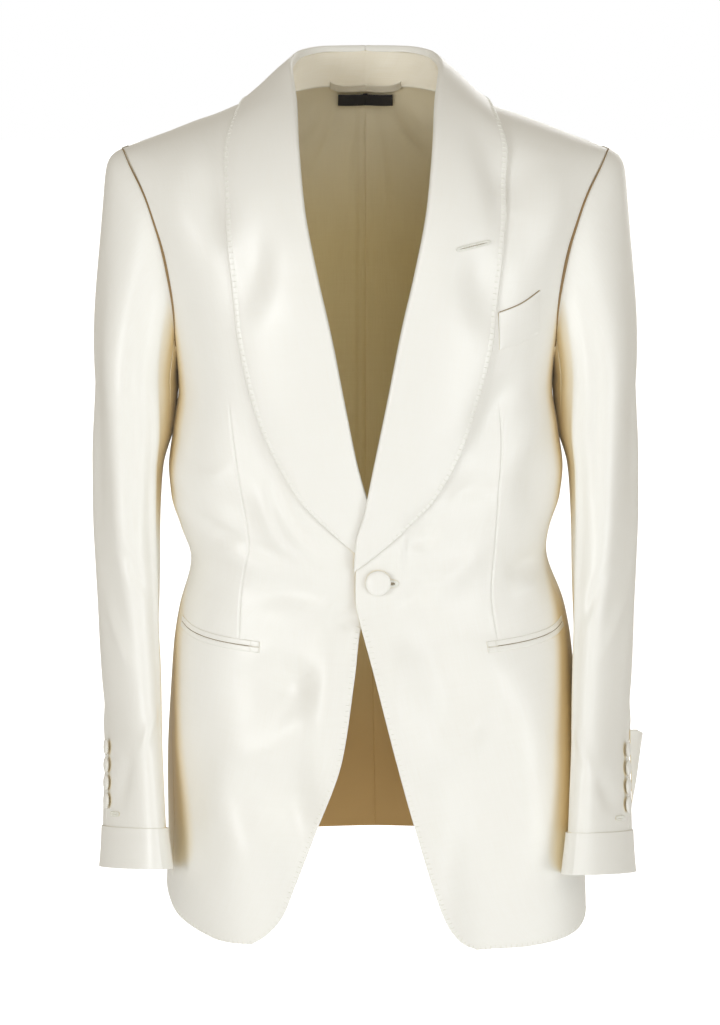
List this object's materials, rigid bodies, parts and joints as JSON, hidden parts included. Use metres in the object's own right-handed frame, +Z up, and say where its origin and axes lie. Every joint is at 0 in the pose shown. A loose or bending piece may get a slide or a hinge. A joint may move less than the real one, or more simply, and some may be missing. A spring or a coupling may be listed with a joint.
{
  "type": "shawl collar dinner jacket",
  "caption": "Ivory satin one-button dinner jacket with a shawl collar, filled out as worn, sleeves down, open at neck, hem and cuffs.",
  "frame": {"origin": "between the shoulders at the base of the neck, where the jacket rests on its wearer", "axes": "+Z up, -Y to the front of the wearer, +X to the wearer's left"},
  "size_m": [0.5108, 0.283, 0.8074],
  "materials": {
    "ivory_satin": "ivory silk satin weave, soft sheen",
    "cream_lining": "cream twill lining, low sheen",
    "black_label": "bare black woven label, dull"
  },
  "bodies": {
    "root": {"front_left": "ivory_satin", "front_right": "ivory_satin", "side_left": "ivory_satin", "side_right": "ivory_satin", "back_left": "ivory_satin", "back_right": "ivory_satin", "shawl_left": "ivory_satin", "shawl_right": "ivory_satin", "collar_stand": "ivory_satin", "top_sleeve_left_head": "ivory_satin", "top_sleeve_left_arm": "ivory_satin", "top_sleeve_left_forearm": "ivory_satin", "top_sleeve_right_head": "ivory_satin", "top_sleeve_right_arm": "ivory_satin", "top_sleeve_right_forearm": "ivory_satin", "under_sleeve_left": "ivory_satin", "under_sleeve_right": "ivory_satin", "cuff_left": "ivory_satin", "cuff_right": "ivory_satin", "chest_welt": "ivory_satin", "hip_jet_upper_left": "ivory_satin", "hip_jet_upper_right": "ivory_satin", "hip_jet_lower_left": "ivory_satin", "hip_jet_lower_right": "ivory_satin", "front_button": "ivory_satin", "sleeve_button_left_1": "ivory_satin", "sleeve_button_left_2": "ivory_satin", "sleeve_button_left_3": "ivory_satin", "sleeve_button_left_4": "ivory_satin", "sleeve_button_right_1": "ivory_satin", "sleeve_button_right_2": "ivory_satin", "sleeve_button_right_3": "ivory_satin", "sleeve_button_right_4": "ivory_satin", "vent_flap_left": "ivory_satin", "hanger_loop": "ivory_satin", "back_lining_left": "cream_lining", "back_lining_right": "cream_lining", "neck_label": "black_label"}
  },
  "joints": []
}
